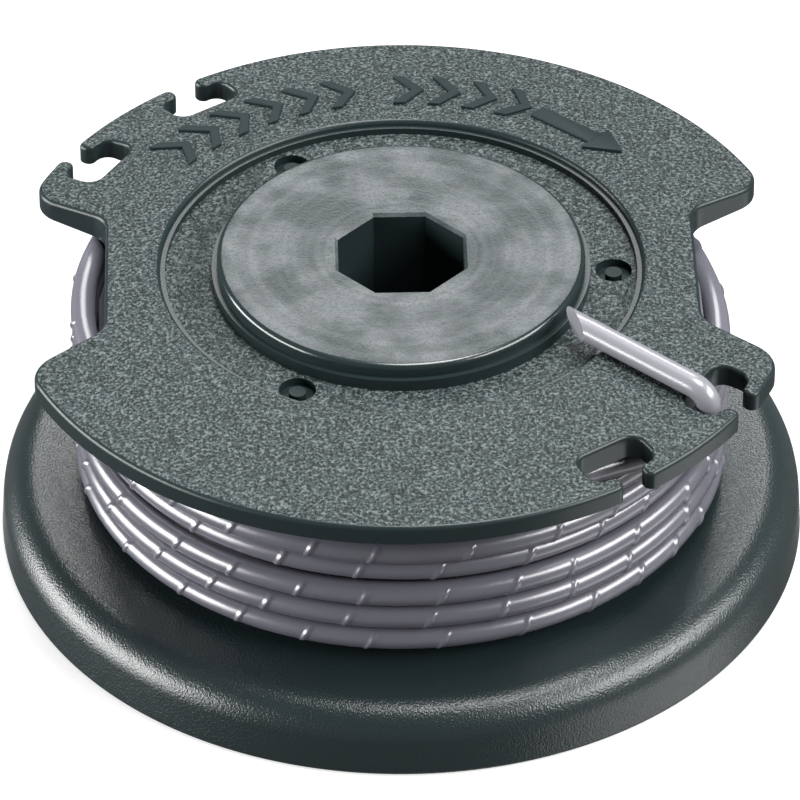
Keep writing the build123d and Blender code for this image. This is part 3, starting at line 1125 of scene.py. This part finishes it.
class SPOOL_OT_stage(bpy.types.Operator):
    """Set a plain pale floor, soft lamps and the camera"""

    bl_idname = "spool.stage"
    bl_label = "Set Stage"

    def execute(self, context):
        stage = context.scene.spool_stage
        bpy.ops.object.select_all(action="DESELECT")
        bpy.ops.mesh.primitive_plane_add(size=FLOOR_WIDTH, location=(0, 0, -FLOOR_DROP))
        floor = context.active_object
        floor.name = "floor"
        floor.data.materials.append(floor_material())
        self.studio(context.scene, stage)
        self.lamp("back_lamp", stage.back_power, place=(0.0, 0.63, 0.66), width=0.44, height=0.34)
        self.lamp("top_lamp", stage.top_power, place=(0.12, -0.02, 0.8), width=0.35, height=0.35)
        self.lamp("left_lamp", stage.left_power, place=(-0.74, -0.06, 0.13), width=0.85, height=0.24)
        self.lamp("right_lamp", stage.right_power, place=(0.61, -0.19, 0.45), width=0.7, height=0.3)
        self.camera(context.scene, stage)
        context.scene.view_settings.view_transform = "Standard"
        return {"FINISHED"}

    def studio(self, scene, stage):
        """A world that is white to the camera, dimmer in reflections and dim as a light."""
        world = bpy.data.worlds.new("studio")
        world.use_nodes = True
        scene.world = world
        tree = world.node_tree
        rays = node(tree, "ShaderNodeLightPath", (-900, 0)).outputs
        glow = math_node(tree, "MULTIPLY", (-650, -150), rays["Is Glossy Ray"], stage.glow)
        seen = math_node(tree, "MAXIMUM", (-650, 50), rays["Is Camera Ray"], rays["Is Transmission Ray"])
        bright = math_node(tree, "MAXIMUM", (-400, 0), seen, glow)
        strength = math_node(tree, "MAXIMUM", (-200, 0), bright, stage.ambient)
        tree.nodes["Background"].inputs["Color"].default_value = (1, 1, 1, 1)
        tree.links.new(strength, tree.nodes["Background"].inputs["Strength"])

    def lamp(self, name, power, place, width, height):
        """A soft area lamp that faces the spool."""
        light = bpy.data.lights.new(name, "AREA")
        light.shape = "RECTANGLE"
        light.size, light.size_y = width, height
        light.energy = power
        self.aimed(name, light, Vector(place), (LAMP_AIM - Vector(place)).to_track_quat("-Z", "Y"))

    def camera(self, scene, stage):
        """The camera, by its turn and height about the point that it looks at."""
        camera = bpy.data.cameras.new("camera")
        camera.lens = stage.lens
        camera.sensor_width = 36.0
        camera.clip_start = 10 * MM
        level = math.cos(stage.elevation)
        back = Vector((
            math.sin(stage.azimuth) * level, -math.cos(stage.azimuth) * level, math.sin(stage.elevation)))
        turn = (-back).to_track_quat("-Z", "Y") @ Quaternion((0, 0, 1), stage.roll)
        scene.camera = self.aimed("camera", camera, Vector(stage.aim) + back * stage.distance, turn)

    def aimed(self, name, data, place, turn):
        """A new lamp or camera at a place, turned by a quaternion."""
        made = bpy.data.objects.new(name, data)
        bpy.context.scene.collection.objects.link(made)
        made.location = place
        made.rotation_mode = "QUATERNION"
        made.rotation_quaternion = turn
        return made


# Add-on


class SPOOL_PT_panel(bpy.types.Panel):
    """Lists the steps that dress the spool"""

    bl_idname = "SPOOL_PT_panel"
    bl_label = "Trimmer Line Spool"
    bl_space_type = "VIEW_3D"
    bl_region_type = "UI"
    bl_category = "Spool"

    def draw(self, context):
        for operator in STEPS:
            self.layout.operator(operator.bl_idname)
        for name in SETTINGS:
            settings = getattr(context.scene, name)
            box = self.layout.box()
            for prop in settings.bl_rna.properties:
                if prop.identifier not in {"rna_type", "name"}:
                    box.prop(settings, prop.identifier)


SETTINGS = {
    "spool_body": SpoolBodySettings,
    "spool_outline": SpoolOutlineSettings,
    "spool_marks": SpoolMarkSettings,
    "spool_line": SpoolLineSettings,
    "spool_finish": SpoolFinishSettings,
    "spool_stage": SpoolStageSettings,
}
STEPS = (SPOOL_OT_body, SPOOL_OT_marks, SPOOL_OT_line, SPOOL_OT_stage)
CLASSES = (*SETTINGS.values(), *STEPS, SPOOL_PT_panel)


def register():
    for cls in CLASSES:
        bpy.utils.register_class(cls)
    for name, group in SETTINGS.items():
        setattr(bpy.types.Scene, name, PointerProperty(type=group))


def unregister():
    for name in SETTINGS:
        delattr(bpy.types.Scene, name)
    for cls in reversed(CLASSES):
        bpy.utils.unregister_class(cls)


def main():
    """Dress the spool."""
    register()
    bpy.ops.spool.body()
    bpy.ops.spool.marks()
    bpy.ops.spool.line()
    bpy.ops.spool.stage()


if __name__ == "__main__":
    main()
